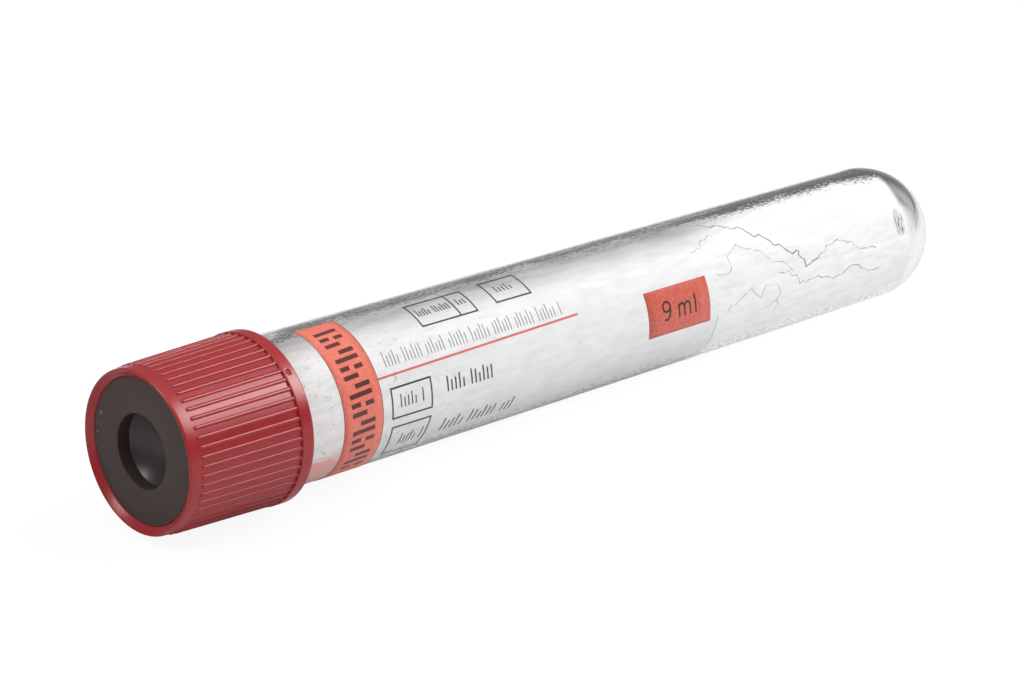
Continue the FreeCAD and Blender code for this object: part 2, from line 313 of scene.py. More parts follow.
def coat_ground(tree):
    """What the coat's patterns share: where a point is, and unevenness drawn out along the bore."""
    place, angle = on_axis(tree)
    end = add(tree, "MapRange", (place, *COAT_TURN), **SMOOTH)
    tilt = add(tree, "Math", (end, 8), operation="MULTIPLY")
    cloud = uneven(tree, 3.0, detail=3, stretch=(0.4, 1, 1))
    frayed = add(tree, "Math", (cloud, 0.8), operation="MULTIPLY")
    return SimpleNamespace(
        place=place,
        angle=angle,
        tilted=add(tree, "Math", (angle, tilt), operation="SUBTRACT"),
        rear=add(tree, "MapRange", (place, *COAT_REAR), **SMOOTH),
        ragged=add(tree, "Math", (place, frayed), operation="ADD"),
        streak=uneven(tree, 0.9, detail=3, stretch=(0.15, 1, 1)),
    )


def thin_crust(tree, ground):
    """How thin the crust is. It dried in a lying tube: thin along the top and at the low edge."""
    drift = add(tree, "Math", (ground.rear, 6, ground.angle), operation="MULTIPLY_ADD")
    outer = add(tree, "MapRange", (drift, -33, -21), **SMOOTH)
    top = add(tree, "MapRange", (ground.tilted, 18, -8), **SMOOTH)
    top = add(tree, "Math", (top, outer), operation="MULTIPLY")
    rear = add(tree, "Math", (ground.rear, 0.45), operation="MULTIPLY")
    front = add(tree, "MapRange", (ground.place, 26, 19), **SMOOTH)
    front = add(tree, "Math", (front, 0.2), operation="MULTIPLY")
    patchy = add(tree, "Math", (rear, front), operation="ADD")
    patchy = add(tree, "Math", (0.8, patchy), operation="ADD")
    thin = add(tree, "Math", (top, patchy), operation="MULTIPLY")

    low = add(tree, "MapRange", (ground.angle, 122, 150), **SMOOTH)
    under = add(tree, "MapRange", (ground.angle, 190, 170), **SMOOTH)
    low = add(tree, "Math", (low, under), operation="MULTIPLY")
    past_band = add(tree, "MapRange", (ground.place, 22, 27), **SMOOTH)
    low = add(tree, "Math", (low, past_band), operation="MULTIPLY")
    thin = add(tree, "Math", (thin, low), operation="ADD")

    drawn = add(tree, "Math", (ground.streak, 0.5), operation="SUBTRACT")
    drawn = add(tree, "Math", (drawn, 1.2), operation="MULTIPLY")
    drawn_most = add(tree, "Math", (top, 0.2), operation="ADD")
    drawn = add(tree, "Math", (drawn, drawn_most), operation="MULTIPLY")
    return add(tree, "Math", (thin, drawn), operation="ADD")


def painted_gate_image(tree, ground):
    """A grey oval with fine lines near the round end, 1.5 mm by 26 degrees: a painted image of the gate
    seen through the clear end.
    """
    across = add(tree, "Math", (ground.angle, OVAL_ANGLE), operation="SUBTRACT")
    across = add(tree, "Math", (across, 0.077), operation="MULTIPLY")
    along = add(tree, "Math", (ground.place, OVAL_PLACE), operation="SUBTRACT")
    along = add(tree, "Math", (along, 1.35), operation="MULTIPLY")
    squares = [add(tree, "Math", (side, 2.0), operation="POWER") for side in (across, along)]
    away = add(tree, "Math", squares, operation="ADD")
    spot = add(tree, "MapRange", (away, 1.4, 0.2), **SMOOTH)
    lines = uneven(tree, 0.14, detail=2, stretch=(1, 0.2, 0.2))
    lines = add(tree, "MapRange", (lines, 0.38, 0.62, 0.1, 0.95), **SMOOTH)
    return add(tree, "Math", (spot, lines), operation="MULTIPLY")


def grey_flecks(tree, ground):
    """Specks of dust in the crust, most behind the cap."""
    specks = uneven(tree, 0.3, detail=4, stretch=(0.7, 1, 1), roughness=0.7)
    more = add(tree, "MapRange", (ground.place, 75, 20), **SMOOTH)
    more = add(tree, "Math", (more, 0.08), operation="MULTIPLY")
    specks = add(tree, "Math", (specks, more), operation="ADD")
    flecks = add(tree, "MapRange", (specks, 0.67, 0.77), **SMOOTH)
    return add(tree, "Math", (flecks, 0.6), operation="MULTIPLY")


def painted_top_shade(tree, ground):
    """Painted shade: grey painted along the top, where the dark inside shows through the thin crust,
    wider towards the round end.
    """
    spread = add(tree, "Math", (ground.rear, 24.0, ground.tilted), operation="MULTIPLY_ADD")
    top_shade = add(tree, "MapRange", (spread, 40, -2), **SMOOTH)
    streaks = add(tree, "MapRange", (ground.streak, 0.3, 0.7, 0.68, 0.9), **SMOOTH)
    top_shade = add(tree, "Math", (top_shade, streaks), operation="MULTIPLY")
    near_top = add(tree, "MapRange", (ground.angle, -42, -18), **SMOOTH)
    return add(tree, "Math", (top_shade, near_top), operation="MULTIPLY")


def painted_band_image(tree, ground):
    """Low down behind the stopper, a painted image: the pink of the band's far side, as seen through the
    wall, painted into the crust.
    """
    front = add(tree, "MapRange", (ground.ragged, *BAND_PAINTED), **SMOOTH)
    glow = add(tree, "Math", (front, within(tree, ground.angle, 117, 240, 4)), operation="MULTIPLY")
    streaks = add(tree, "MapRange", (ground.streak, 0.36, 0.54, 0.35, 1.0), **SMOOTH)
    return add(tree, "Math", (glow, streaks), operation="MULTIPLY")


def crust_colour(tree, ground):
    """White in paler and greyer patches, with the crust's flecks, painted shade along the top and painted
    images of the gate and of the band's far side.
    """
    patches = uneven(tree, 0.7, detail=4, stretch=(0.25, 1, 1), roughness=0.7)
    patches = add(tree, "MapRange", (patches, 0.3, 0.62), **SMOOTH)
    white = {0: patches, 6: linear("#F0F0F0"), 7: linear("#FDFDFD")}
    colour = add(tree, "Mix", white, **COLOURS)
    for share, code in (
        (grey_flecks(tree, ground), "#807E7C"),
        # painted image of the gate
        (painted_gate_image(tree, ground), "#6E6D6B"),
        # painted shade along the top
        (painted_top_shade(tree, ground), "#868584"),
        # painted image of the band's far side
        (painted_band_image(tree, ground), "#FBB9B2"),
    ):
        colour = add(tree, "Mix", {0: share, 6: colour, 7: linear(code)}, **COLOURS)
    return colour


def activator_coat():
    """Clot activator sprayed on the PET bore and dried: a fine white crust with open pores."""
    material, tree = new_material("activator_coat")
    ground = coat_ground(tree)
    grain = uneven(tree, 0.25, detail=4, stretch=(0.5, 1, 1), roughness=0.62)
    thin = add(tree, "Math", (thin_crust(tree, ground), 0.36), operation="MULTIPLY")
    level = add(tree, "Math", (grain, thin), operation="ADD")
    pores = add(tree, "MapRange", (level, 0.67, 0.88), **SMOOTH)
    bare = add(tree, "MapRange", (ground.ragged, COAT_END, COAT_END + 0.9), **SMOOTH)
    clear = add(tree, "Math", (pores, bare), operation="MAXIMUM")

    relief = add(tree, "Bump", {"Height": grain, "Distance": 0.03 * MM, "Strength": 0.3})
    finish = {"Color": crust_colour(tree, ground), "Normal": relief}
    matt = add(tree, "BsdfDiffuse", finish)
    glow = add(tree, "BsdfTranslucent", finish)
    crust = add(tree, "MixShader", (0.25, matt, glow))
    wall = {"Color": linear("#FBFBFB"), "Roughness": 0.0, "IOR": 1.57}
    bare_wall = clear_to_lamps(tree, add(tree, "BsdfGlass", wall))
    mixed = add(tree, "MixShader", (clear, crust, bare_wall))
    add(tree, "OutputMaterial", {"Surface": mixed})
    return material


def crust_edge(name, code, faintest):
    """The edge of a crack in the dried crust, lifted off the wall: a thin grey shadow line."""
    material, tree = new_material(name)
    faint = uneven(tree, 0.8, detail=3)
    share = add(tree, "Math", (faint, 0.5), operation="MULTIPLY")
    settings = {
        "Base Color": add(tree, "Mix", {0: share, 6: linear(code), 7: linear("#C9C9C9")}, **COLOURS),
        "Roughness": 0.8,
        "Alpha": add(tree, "MapRange", (faint, 0.3, 0.6, 0.97, faintest), **SMOOTH),
    }
    add(tree, "OutputMaterial", {"Surface": add(tree, "BsdfPrincipled", settings)})
    return material


def label_film():
    """Clear polypropylene film, calendered: a thin glossy skin with a slight haze."""
    material, tree = new_material("label_film")
    haze = uneven(tree, 1.2, detail=3)
    settings = {
        "Base Color": linear("#F2F2F4"),
        "Roughness": add(tree, "MapRange", (haze, 0.3, 0.7, 0.2, 0.3), **SMOOTH),
        "IOR": 1.49,
        "Alpha": 0.04,
    }
    skin = clear_to_lamps(tree, add(tree, "BsdfPrincipled", settings), "#FDFDFD")
    add(tree, "OutputMaterial", {"Surface": skin})
    return material


def ink(name, colour, worn, alpha, size):
    """Flexographic ink on film: a thin coloured layer, slightly mottled, with the film's gloss."""
    material, tree = new_material(name)
    dots = uneven(tree, size, detail=4, roughness=0.7)
    share = add(tree, "MapRange", (dots, 0.35, 0.75), **SMOOTH)
    relief = {"Height": dots, "Distance": 0.01 * MM, "Strength": 0.2}
    settings = {
        "Base Color": add(tree, "Mix", {0: share, 6: colour, 7: worn}, **COLOURS),
        "Roughness": 0.35,
        "IOR": 1.49,
        "Alpha": alpha,
        "Normal": add(tree, "Bump", relief),
    }
    layer = clear_to_lamps(tree, add(tree, "BsdfPrincipled", settings))
    add(tree, "OutputMaterial", {"Surface": layer})
    return material


def red_polyethylene(settings):
    """Polyethylene, injection moulded in red: satin, a little waxy, fine tool texture and scuffs."""
    material, tree = new_material("red_polyethylene")
    skin = uneven(tree, 0.15, detail=3)
    patch = uneven(tree, 2.2, detail=3)
    scuff = uneven(tree, 0.3, detail=4, stretch=(0.5, 1, 1), roughness=0.75)
    scuff = add(tree, "MapRange", (scuff, 0.68, 0.76), **SMOOTH)
    scuff = add(tree, "Math", (scuff, 0.35), operation="MULTIPLY")
    body = add(tree, "Mix", {0: patch, 6: settings.cap_tone, 7: settings.cap_pale}, **COLOURS)
    relief = {"Height": skin, "Distance": 0.02 * MM, "Strength": 0.25}
    finish = {
        "Base Color": add(tree, "Mix", {0: scuff, 6: body, 7: linear("#D98A88")}, **COLOURS),
        "Roughness": add(tree, "MapRange", (patch, 0.3, 0.7, 0.22, 0.27), **SMOOTH),
        "IOR": 1.5,
        "Normal": add(tree, "Bump", relief),
    }
    add(tree, "OutputMaterial", {"Surface": add(tree, "BsdfPrincipled", finish)})
    return material


def black_polyethylene(settings):
    """Polyethylene, moulded with carbon black: matt eroded face, scratched and dusty at one side."""
    material, tree = new_material("black_polyethylene")
    skin = uneven(tree, 0.12, detail=3)
    patch = uneven(tree, 1.5, detail=3)
    parts = add(tree, "SeparateXYZ", (own_place(tree),)).outputs
    side = add(tree, "Math", (parts["Y"], MM), operation="DIVIDE")
    height = add(tree, "Math", (parts["Z"], MM), operation="DIVIDE")
    edge = add(tree, "MapRange", (side, 4.6, 6.0), **SMOOTH)
    handled = add(tree, "Math", (edge, within(tree, height, -1.0, 2.6, 1.0)), operation="MULTIPLY")
    handled = add(tree, "Math", (handled, 0.1), operation="MULTIPLY")
    grit = uneven(tree, 0.22, detail=3, stretch=(1, 1, 0.6), roughness=0.6)
    grit = add(tree, "Math", (grit, handled), operation="ADD")
    dust = add(tree, "MapRange", (grit, 0.75, 0.79), **SMOOTH)
    body = {0: patch, 6: settings.ring_tone, 7: settings.ring_pale}
    body = add(tree, "Mix", body, **COLOURS)
    relief = {"Height": skin, "Distance": 0.02 * MM, "Strength": 0.35}
    finish = {
        "Base Color": add(tree, "Mix", {0: dust, 6: body, 7: linear("#A8A29E")}, **COLOURS),
        "Roughness": 0.6,
        "IOR": 1.5,
        "Normal": add(tree, "Bump", relief),
    }
    add(tree, "OutputMaterial", {"Surface": add(tree, "BsdfPrincipled", finish)})
    return material


def butyl_rubber():
    """Butyl rubber, compression moulded in a polished tool and siliconised: dark, soft gloss."""
    material, tree = new_material("butyl_rubber")
    skin = uneven(tree, 0.2, detail=3)
    patch = uneven(tree, 1.0, detail=2)
    body = {0: patch, 6: linear("#2B2122"), 7: linear("#352A2B")}
    relief = {"Height": skin, "Distance": 0.01 * MM, "Strength": 0.2}
    settings = {
        "Base Color": add(tree, "Mix", body, **COLOURS),
        "Roughness": add(tree, "MapRange", (patch, 0.3, 0.7, 0.3, 0.38), **SMOOTH),
        "IOR": 1.51,
        "Normal": add(tree, "Bump", relief),
    }
    add(tree, "OutputMaterial", {"Surface": add(tree, "BsdfPrincipled", settings)})
    return material


# ---- meshes


def new_piece(name, points, faces, body, materials, picks=None, depth=None):
    """A mesh that rides on a body. Picks gives each face's material, depth (mm) makes it a slab."""
    mesh = bpy.data.meshes.new(name)
    mesh.from_pydata(points, [], faces)
    for polygon in mesh.polygons:
        polygon.use_smooth = True
        polygon.material_index = picks[polygon.index] if picks else 0
    form = bmesh.new()
    form.from_mesh(mesh)
    bmesh.ops.remove_doubles(form, verts=form.verts, dist=MM / 10000)
    form.to_mesh(mesh)
    form.free()
    mesh.set_sharp_from_angle(angle=math.radians(SHARP))
    for material in materials:
        mesh.materials.append(material)
    piece = bpy.data.objects.new(name, mesh)
    bpy.context.scene.collection.objects.link(piece)
    if depth:
        slab = piece.modifiers.new("depth", "SOLIDIFY")
        slab.thickness, slab.offset = depth * MM, -1
    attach(piece, body)
    return piece


def arc(centre, radius, start, end, steps):
    """Profile points (place, radius) on an arc about centre, angles from the axis in degrees."""
    points = []
    for step in range(steps + 1):
        turn = math.radians(start + (end - start) * step / steps)
        points.append((centre[0] + radius * math.cos(turn), centre[1] + radius * math.sin(turn)))
    return points


def quads(columns, rows):
    """Quads that join columns of points, all with this many rows, into one closed skin."""
    faces = []
    for column in range(columns):
        first, second = column * rows, (column + 1) % columns * rows
        for row in range(rows):
            following = (row + 1) % rows
            faces.append((first + row, second + row, second + following, first + following))
    return faces


def lathe(profile, columns):
    """Points and quads of a closed profile of (place, radius) turned about the axis."""
    points = []
    for column in range(columns):
        for place, radius in profile:
            points.append(at(place, radius, 360 * column / columns))
    return points, quads(columns, len(profile))


def sheet(corners, steps, lift):
    """A patch on the tube's outside. Corners are (start, end) places at its first and last angle."""
    (angle_a, start_a, end_a), (angle_b, start_b, end_b) = corners
    points, faces = [], []
    across = 6
    for step in range(steps + 1):
        share = step / steps
        angle = angle_a + (angle_b - angle_a) * share
        start = start_a + (start_b - start_a) * share
        end = end_a + (end_b - end_a) * share
        for part in range(across + 1):
            place = start + (end - start) * part / across
            points.append(at(place, wall_radius(place) + lift, angle))
    row = across + 1
    for step in range(steps):
        for part in range(across):
            first = step * row + part
            faces.append((first, first + row, first + row + 1, first + 1))
    return points, faces


def dense(line, closed):
    """The line of (place, angle) with a point at least every half millimetre."""
    finer = []
    spans = zip(line, line[1:] + line[:1] if closed else line[1:])
    for (x0, a0), (x1, a1) in spans:
        reach = math.hypot(x1 - x0, math.radians(a1 - a0) * MOUTH_RADIUS)
        parts = max(1, math.ceil(reach / 0.5))
        finer += [(x0 + (x1 - x0) * i / parts, a0 + (a1 - a0) * i / parts) for i in range(parts)]
    return finer if closed else finer + [line[-1]]


def ribbon(line, width, lift, points, faces, closed=False):
    """Add a flat stroke along a line of (place, angle) on the tube's outside, mitred at its turns."""
    line = dense(line, closed)
    count, base = len(line), len(points)
    for index, (place, angle) in enumerate(line):
        before = line[index - 1] if closed or index else line[0]
        after = line[(index + 1) % count] if closed or index < count - 1 else line[-1]
        radius = wall_radius(place)
        sides = []
        for a, b in ((before, (place, angle)), ((place, angle), after)):
            dx, dy = b[0] - a[0], math.radians(b[1] - a[1]) * radius
            if dx or dy:
                size = math.hypot(dx, dy)
                sides.append((-dy / size, dx / size))
        nx, ny = (sum(s[i] for s in sides) for i in (0, 1))
        size = math.hypot(nx, ny)
        nx, ny = nx / size, ny / size
        reach = width / 2 / max(nx * sides[0][0] + ny * sides[0][1], 0.5)
        for sign in (-1, 1):
            x, y = place + nx * reach * sign, math.radians(angle) * radius + ny * reach * sign
            points.append(at(x, radius + lift, math.degrees(y / radius)))
    for index in range(count if closed else count - 1):
        a, b = base + 2 * index, base + 2 * ((index + 1) % count)
        faces.append((a, a + 1, b + 1, b))


# ---- builders


def build_wall(settings):
    """The clear drafted tube, with the dried coat as the finish of its bore."""
    rim = RIM_ROUNDING
    outer = arc((MOUTH + rim, MOUTH_RADIUS - rim), rim, 180, 90, 4)
    stations = [MOUTH + 12 * i for i in range(1, 8)]
    outer += [(place, wall_radius(place)) for place in stations]
    gate_angle = math.degrees(math.asin(GATE_RADIUS / END_RADIUS))
    outer += arc((END_CENTRE, 0), END_RADIUS, 90, gate_angle, 40)
    gate_face = TIP + GATE_HEIGHT
    outer += [(gate_face - GATE_ROUNDING, GATE_RADIUS), (gate_face, GATE_RADIUS - GATE_ROUNDING)]
    outer += [(gate_face, 0)]
    bore = arc((END_CENTRE, 0), END_RADIUS - WALL, 0, 90, 40)
    bore += [(place, wall_radius(place) - WALL) for place in reversed(stations)]
    mouth = arc((MOUTH + rim, MOUTH_RADIUS - WALL + rim), rim, 270, 180, 4)[:-1]
    points, faces = lathe(outer + bore + mouth, settings.wall_columns)
    rows, first, last = len(outer + bore + mouth), len(outer), len(outer + bore)
    coated = [int(first <= index % rows < last) for index in range(len(faces))]
    finishes = [clear_pet(), activator_coat()]
    wall = new_piece("clear_wall", points, faces, "tube", finishes, picks=coated)
    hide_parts("tube")


# Courses of the cracks in the coat, in round numbers: mm along the axis and degrees about it. The
# first is the main crack. Those after it run on from it or near it, and the last three stand alone.
CRACKS = (
    ((74.5, 6), (77, 16), (79, 25), (80, 38), (82, 51), (85, 63), (85.5, 78), (87.5, 74)),
    ((87.5, 74), (89.5, 65), (93, 68), (94, 78), (96.5, 80)),
    ((81.5, 76), (84.5, 92), (88, 93), (92, 91), (95, 99), (97, 101)),
    ((77, 39), (75.5, 46), (75, 59), (72.5, 60)),
    ((77, 39), (78.5, 47), (81, 65), (83.5, 78)),
    ((81, 86), (81.5, 92), (81, 101), (81.5, 107), (81, 115)),
    ((81, 102), (79.5, 105)),
    ((73.5, 98), (74, 92), (76, 86), (79.5, 83), (80.5, 86)),
    ((70.5, 34), (73, 26), (75, 24)),
    ((27.5, 60), (27.5, 67), (27, 69)),
    ((102, 45), (101.5, 47), (102, 48)),
    ((17.5, 108), (18, 112)),
)
# Their widths, as multiples of the crack width.
MAIN_WIDTHS = (1.6,)
FINE_WIDTHS = (1.0, 1.1) + (0.8,) * (len(CRACKS) - 3)


def crooked(line, chance):
    """The line with its spans halved three times, each new point knocked a little aside."""
    for _ in range(3):
        finer = [line[0]]
        for (x0, a0), (x1, a1) in zip(line, line[1:]):
            reach = math.hypot(x1 - x0, (a1 - a0) * BORE_DEGREE) * 0.12
            x, a = chance.gauss(0, reach), chance.gauss(0, reach / BORE_DEGREE)
            finer += [((x0 + x1) / 2 + x, (a0 + a1) / 2 + a), (x1, a1)]
        line = finer
    return line


def build_cracks(settings):
    """The cracks that drying left in the coat, just under the clear wall's bore."""
    chance = random.Random(3)
    for name, edge, lines, widths in (
        ("main_crack", crust_edge("main_crust", "#464648", 0.55), CRACKS[:1], MAIN_WIDTHS),
        ("fine_cracks", crust_edge("fine_crusts", "#77777A", 0.3), CRACKS[1:], FINE_WIDTHS),
    ):
        points, faces = [], []
        for line, width in zip(lines, widths):
            width *= settings.crack_width / MM
            ribbon(crooked(line, chance), width, CRACK_LIFT, points, faces)
        new_piece(name, points, faces, "tube", [edge])


def printed(name, node, slot, material, places, angles, lift, skew):
    """The film, or a field on it, between two places and two angles, with skew in mm per degree."""
    (start, end), (first, last) = places, angles
    corners = [(angle, start + skew * angle, end + skew * angle) for angle in angles]
    points, faces = sheet(corners, max(8, round((last - first) / 2.5)), lift)
    piece = new_piece(name, points, faces, "tube", [material], depth=0.01)
    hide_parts(node)


def strokes(name, material, lines, width, skew):
    """One piece of flat printed strokes, each a line and whether it is closed. Width is in mm."""
    points, faces = [], []
    for line, closed in lines:
        ribbon([(x + skew * a, a) for x, a in line], width, PRINT, points, faces, closed)
    new_piece(name, points, faces, "tube", [material])


def ticks(x0, x1, foot, head, count, slant=0.0):
    """A row of upright strokes with uneven tops and gaps, where the real label has small print."""
    lines = []
    for index in range(count):
        if index % 7 == 5:
            continue
        x = x0 + (x1 - x0) * (index + 0.5) / count
        top = head if index % 3 == 0 else foot + (head - foot) * (0.6 + 0.1 * (index % 4))
        lines.append(([(x, foot), (x + slant, top)], False))
    return lines


def band_bars():
    """Broken bars across the colour band, in four kinds that take turns."""
    spans = (((20.7, 23.6),), ((20.7, 21.9), (22.5, 23.6)), ((20.7, 22.6),), ((21.7, 23.6),))
    bars = []
    for index, a in enumerate(range(14, 140, 7)):
        bars += [([(x0, a), (x1, a - (x1 - x0) / 2)], False) for x0, x1 in spans[index % 4]]
    return bars


def volume_mark():
    """The plain fill volume, 9 ml, as strokes on the volume field."""
    base, per_degree = 85.6, 0.1335  # degrees at the foot of the figures, and mm in a degree

    def put(start, points):
        return [(start + u, base - v / per_degree) for u, v in points]

    turns = [math.radians(t) for t in range(0, 360, 24)]
    loop = [(0.5 + 0.52 * math.cos(t), 1.5 + 0.54 * math.sin(t)) for t in turns]
    tail = [(1.02, 1.5), (1.0, 0.95), (0.84, 0.4), (0.52, 0.1), (0.1, 0.14)]
    stem = [(0, 0), (0, 1.45)]
    arch = [(0, 1.1), (0.3, 1.4), (0.6, 1.4), (0.8, 1.1), (0.8, 0)]
    second = [(0.8, 1.1), (1.1, 1.4), (1.45, 1.4), (1.62, 1.1), (1.62, 0)]
    lines = [(put(63.5, loop), True), (put(63.5, tail), False)]
    lines += [(put(65.75, line), False) for line in (stem, arch, second)]
    lines.append((put(68.15, [(0, 0), (0, 2.05)]), False))
    return lines


# Corners of the framed boxes: mm along the axis and degrees about it.
BOXES = (
    ((32.9, 9.7), (40.3, 9.7), (40.3, 33.6), (32.9, 33.6)),
    ((43.1, 7.8), (47.8, 7.8), (47.8, 31.6), (43.1, 31.6)),
    ((25.9, 72.4), (31.1, 72.0), (31.1, 95.5), (25.9, 95.3)),
    ((26.0, 103), (31.1, 103.2), (30.6, 132), (25.9, 130.4)),
)


def build_label(settings):
    """The clear film with its printed fields and marks, painted shadow lines at the band's edges and a
    painted highlight on the text.
    """
    skew = settings.label_skew / MM / 360
    thin = settings.line_width / MM
    pale_red = ink("pale_red_ink", settings.band_tone, settings.band_pale, 0.95, 0.3)
    red = ink("red_ink", settings.field_tone, settings.field_pale, 0.95, 0.3)
    dark = ink("dark_ink", linear("#231F20"), linear("#3A3534"), 0.96, 0.15)
    brown = ink("brown_ink_and_edge_shade", linear("#3A1C19"), linear("#50302B"), 0.93, 0.2)
    grey = ink("grey_ink_and_highlight", linear("#6E6968"), linear("#8C8786"), 0.9, 0.15)

    outlines = [(list(corners), True) for corners in BOXES] + [([(38.1, 9), (38.1, 33)], False)]
    # Painted shadow: dark lines along the band's two edges, in the brown ink.
    edges = [([(x, a) for a in range(2, 296, 6)], False) for x in (LABEL_START, BAND_END)]
    small = ticks(33.3, 37.7, 24.5, 16.5, 12) + ticks(38.6, 39.9, 24, 17, 3)
    small += ticks(44.0, 46.9, 22.5, 15, 6) + ticks(26.8, 30.2, 88, 78, 7)
    small += ticks(27.2, 30.4, 122, 111, 7, 0.2)
    codes = ticks(33.0, 40.0, 87, 75, 13) + ticks(32.7, 42.7, 122, 110, 16, 0.35)
    red_rule = [([(BAND_END, 62.8), (52.0, 59.2)], False)]
    film_edge = [([(LABEL_END, 96), (LABEL_END - 0.5, 122)], False)]

    film = (LABEL_START, LABEL_END), (0, LABEL_WRAP), FILM
    band = (LABEL_START, BAND_END), (0, BAND_WRAP), FIELD
    field = (FIELD_START, FIELD_END), (FIELD_ANGLE, FIELD_ANGLE + FIELD_WRAP), FIELD
    printed("film", "label", "label_film", label_film(), *film, skew)
    printed("colour_band", "label_band", "red_print", pale_red, *band, skew)
    printed("volume_patch", "volume_field", "red_print", red, *field, skew)
    for name, slot, material, lines, width in (
        ("outlines", "label_film", dark, outlines, thin),
        ("red_rule", "red_print", red, red_rule, 0.24),
        ("band_edges", "label_film", brown, edges, 0.07),
        ("film_edge", "label_film", grey, film_edge, 0.07),
        ("band_bars", "label_film", brown, band_bars(), 0.48),
        ("box_ticks", "label_film", dark, small, 0.16),
        ("code_ticks", "label_film", dark, codes, 0.2),
        # Painted highlight: the text is dark print, drawn in grey as if lightened by a highlight along
        # the tube.
        ("text_ticks", "label_film", grey, ticks(26.0, 50.2, 56, 44, 56, 0.1), 0.12),
        ("lower_ticks", "label_film", grey, ticks(32.0, 43.0, 138, 131, 20, 0.3), 0.1),
        ("volume_mark", "label_film", dark, volume_mark(), 0.24),
    ):
        strokes(name, material, lines, width, skew)


def cap_rows():
    """The cap's section: (place, radius), with no radius where the ribs are."""
    rows = []
    for step in range(7):
        turn = math.radians(15 * step)
        radius = LIP_EDGE + (CAP_FRONT - LIP_EDGE) * math.sin(turn)
        rows.append((LIP_FRONT + LIP_ROUNDING * (1 - math.cos(turn)), radius))
    ribbed = (0.9, 1.3, 1.37, 1.39, 1.42, 1.46, 1.51, 1.59, 1.75, 5, 9, 12.5, 13.3, COLLAR_START)
    rows += [(place, None) for place in ribbed]
    rows += [(COLLAR_START + 0.05, COLLAR - 0.03), (COLLAR_START + 0.12, COLLAR)]
    rows += [(PIT_PLACE + 0.075 * step, COLLAR) for step in range(-5, 6)]
    corner = (CAP_LENGTH - COLLAR_ROUNDING, COLLAR - COLLAR_ROUNDING)
    rows += arc(corner, COLLAR_ROUNDING, 90, 0, 5)
    rows += [(CAP_LENGTH, SKIRT_BORE), (CAP_BORE_DEPTH, SKIRT_BORE), (CAP_BORE_DEPTH, CAP_BORE)]
    rows += [(LIP_SLOPE + 0.12, CAP_BORE), (LIP_SLOPE + 0.03, CAP_BORE + 0.02)]
    rows += [(LIP_SLOPE - 0.06, CAP_BORE + 0.09), (0.12, LIP_EDGE - 0.16), (0.03, LIP_EDGE - 0.07)]
    return rows


def ribbed_radius(settings, place, offset):
    """Radius in mm of the drafted wall with its round-crested, round-nosed ribs."""
    half, start = settings.rib_half_width / MM, settings.rib_start / MM
    radius = CAP_FRONT + (CAP_REAR - CAP_FRONT) * place / COLLAR_START
    away = math.hypot(min(place - start, 0), offset) / half
    return radius + settings.rib_height / MM * math.sqrt(max(1 - away**2, 0))


def collar_radius(place, angle):
    """Radius in mm of the plain collar, less in its moulding pit."""
    reach = math.hypot(place - PIT_PLACE, math.radians(angle - PIT_ANGLE) * COLLAR)
    if reach >= PIT_RADIUS:
        return COLLAR
    return COLLAR - PIT_DEPTH * (1 - (reach / PIT_RADIUS) ** 2) ** 0.7


def build_cap(settings):
    """The ribbed red cap: a height map of ribs round it, with the pit in its collar."""
    half, pitch = settings.rib_half_width / MM, 360 / settings.rib_count
    valley = math.radians(pitch / 2) * CAP_FRONT
    offsets = [share * half for share in (-1, -0.94, -0.75, -0.4, 0, 0.4, 0.75, 0.94, 1)]
    offsets += [valley * 0.7, valley]
    rows = cap_rows()
    points = []
    for rib in range(settings.rib_count):
        for offset in offsets:
            angle = FIRST_RIB + rib * pitch + math.degrees(offset / CAP_FRONT)
            for place, radius in rows:
                if radius is None:
                    radius = ribbed_radius(settings, place, offset)
                elif radius == COLLAR:
                    radius = collar_radius(place, angle)
                points.append(at(place, radius, angle))
    faces = quads(settings.rib_count * len(offsets), len(rows))
    finish = [red_polyethylene(settings)]
    cap = new_piece("ribbed_cap", points, faces, "closure", finish)
    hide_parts("cap")


def build_seal(settings):
    """The black ring and the rubber stopper, with their small edges rounded."""
    edge, hole = RING_ROUNDING, WELL_ROUNDING
    ring = arc((RING_FACE + edge, CAP_BORE - edge), edge, 180, 90, 4)
    ring += [(RING_BACK, CAP_BORE), (RING_BACK, WELL)]
    ring += arc((RING_FACE + hole, WELL + hole), hole, 270, 180, 5)
    points, faces = lathe(ring, settings.wall_columns)
    finish = [black_polyethylene(settings)]
    piece = new_piece("needle_ring", points, faces, "closure", finish)
    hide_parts("cap_ring")

    sphere = (WELL**2 + DISH_DEPTH**2) / (2 * DISH_DEPTH)
    bottom = RING_BACK + DISH_DEPTH
    shoulder = PLUG_END - PLUG_CHAMFER
    plug = [wall_radius(x) - WALL - PLUG_CLEARANCE for x in (SEAT, shoulder)]
    section = [(RING_BACK, CAP_BORE), (SEAT, CAP_BORE), (SEAT, plug[0]), (shoulder, plug[1])]
    section += [(PLUG_END, plug[1] - PLUG_CHAMFER), (PLUG_END, HOLLOW_RADIUS)]
    section += [(HOLLOW_TOP, HOLLOW_RADIUS), (HOLLOW_TOP, 0)]
    section += arc((bottom - sphere, 0), sphere, 0, math.degrees(math.asin(WELL / sphere)), 24)
    points, faces = lathe(section, settings.wall_columns)
    piece = new_piece("rubber_stopper", points, faces, "closure", [butyl_rubber()])
    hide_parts("stopper")


# ---- stage


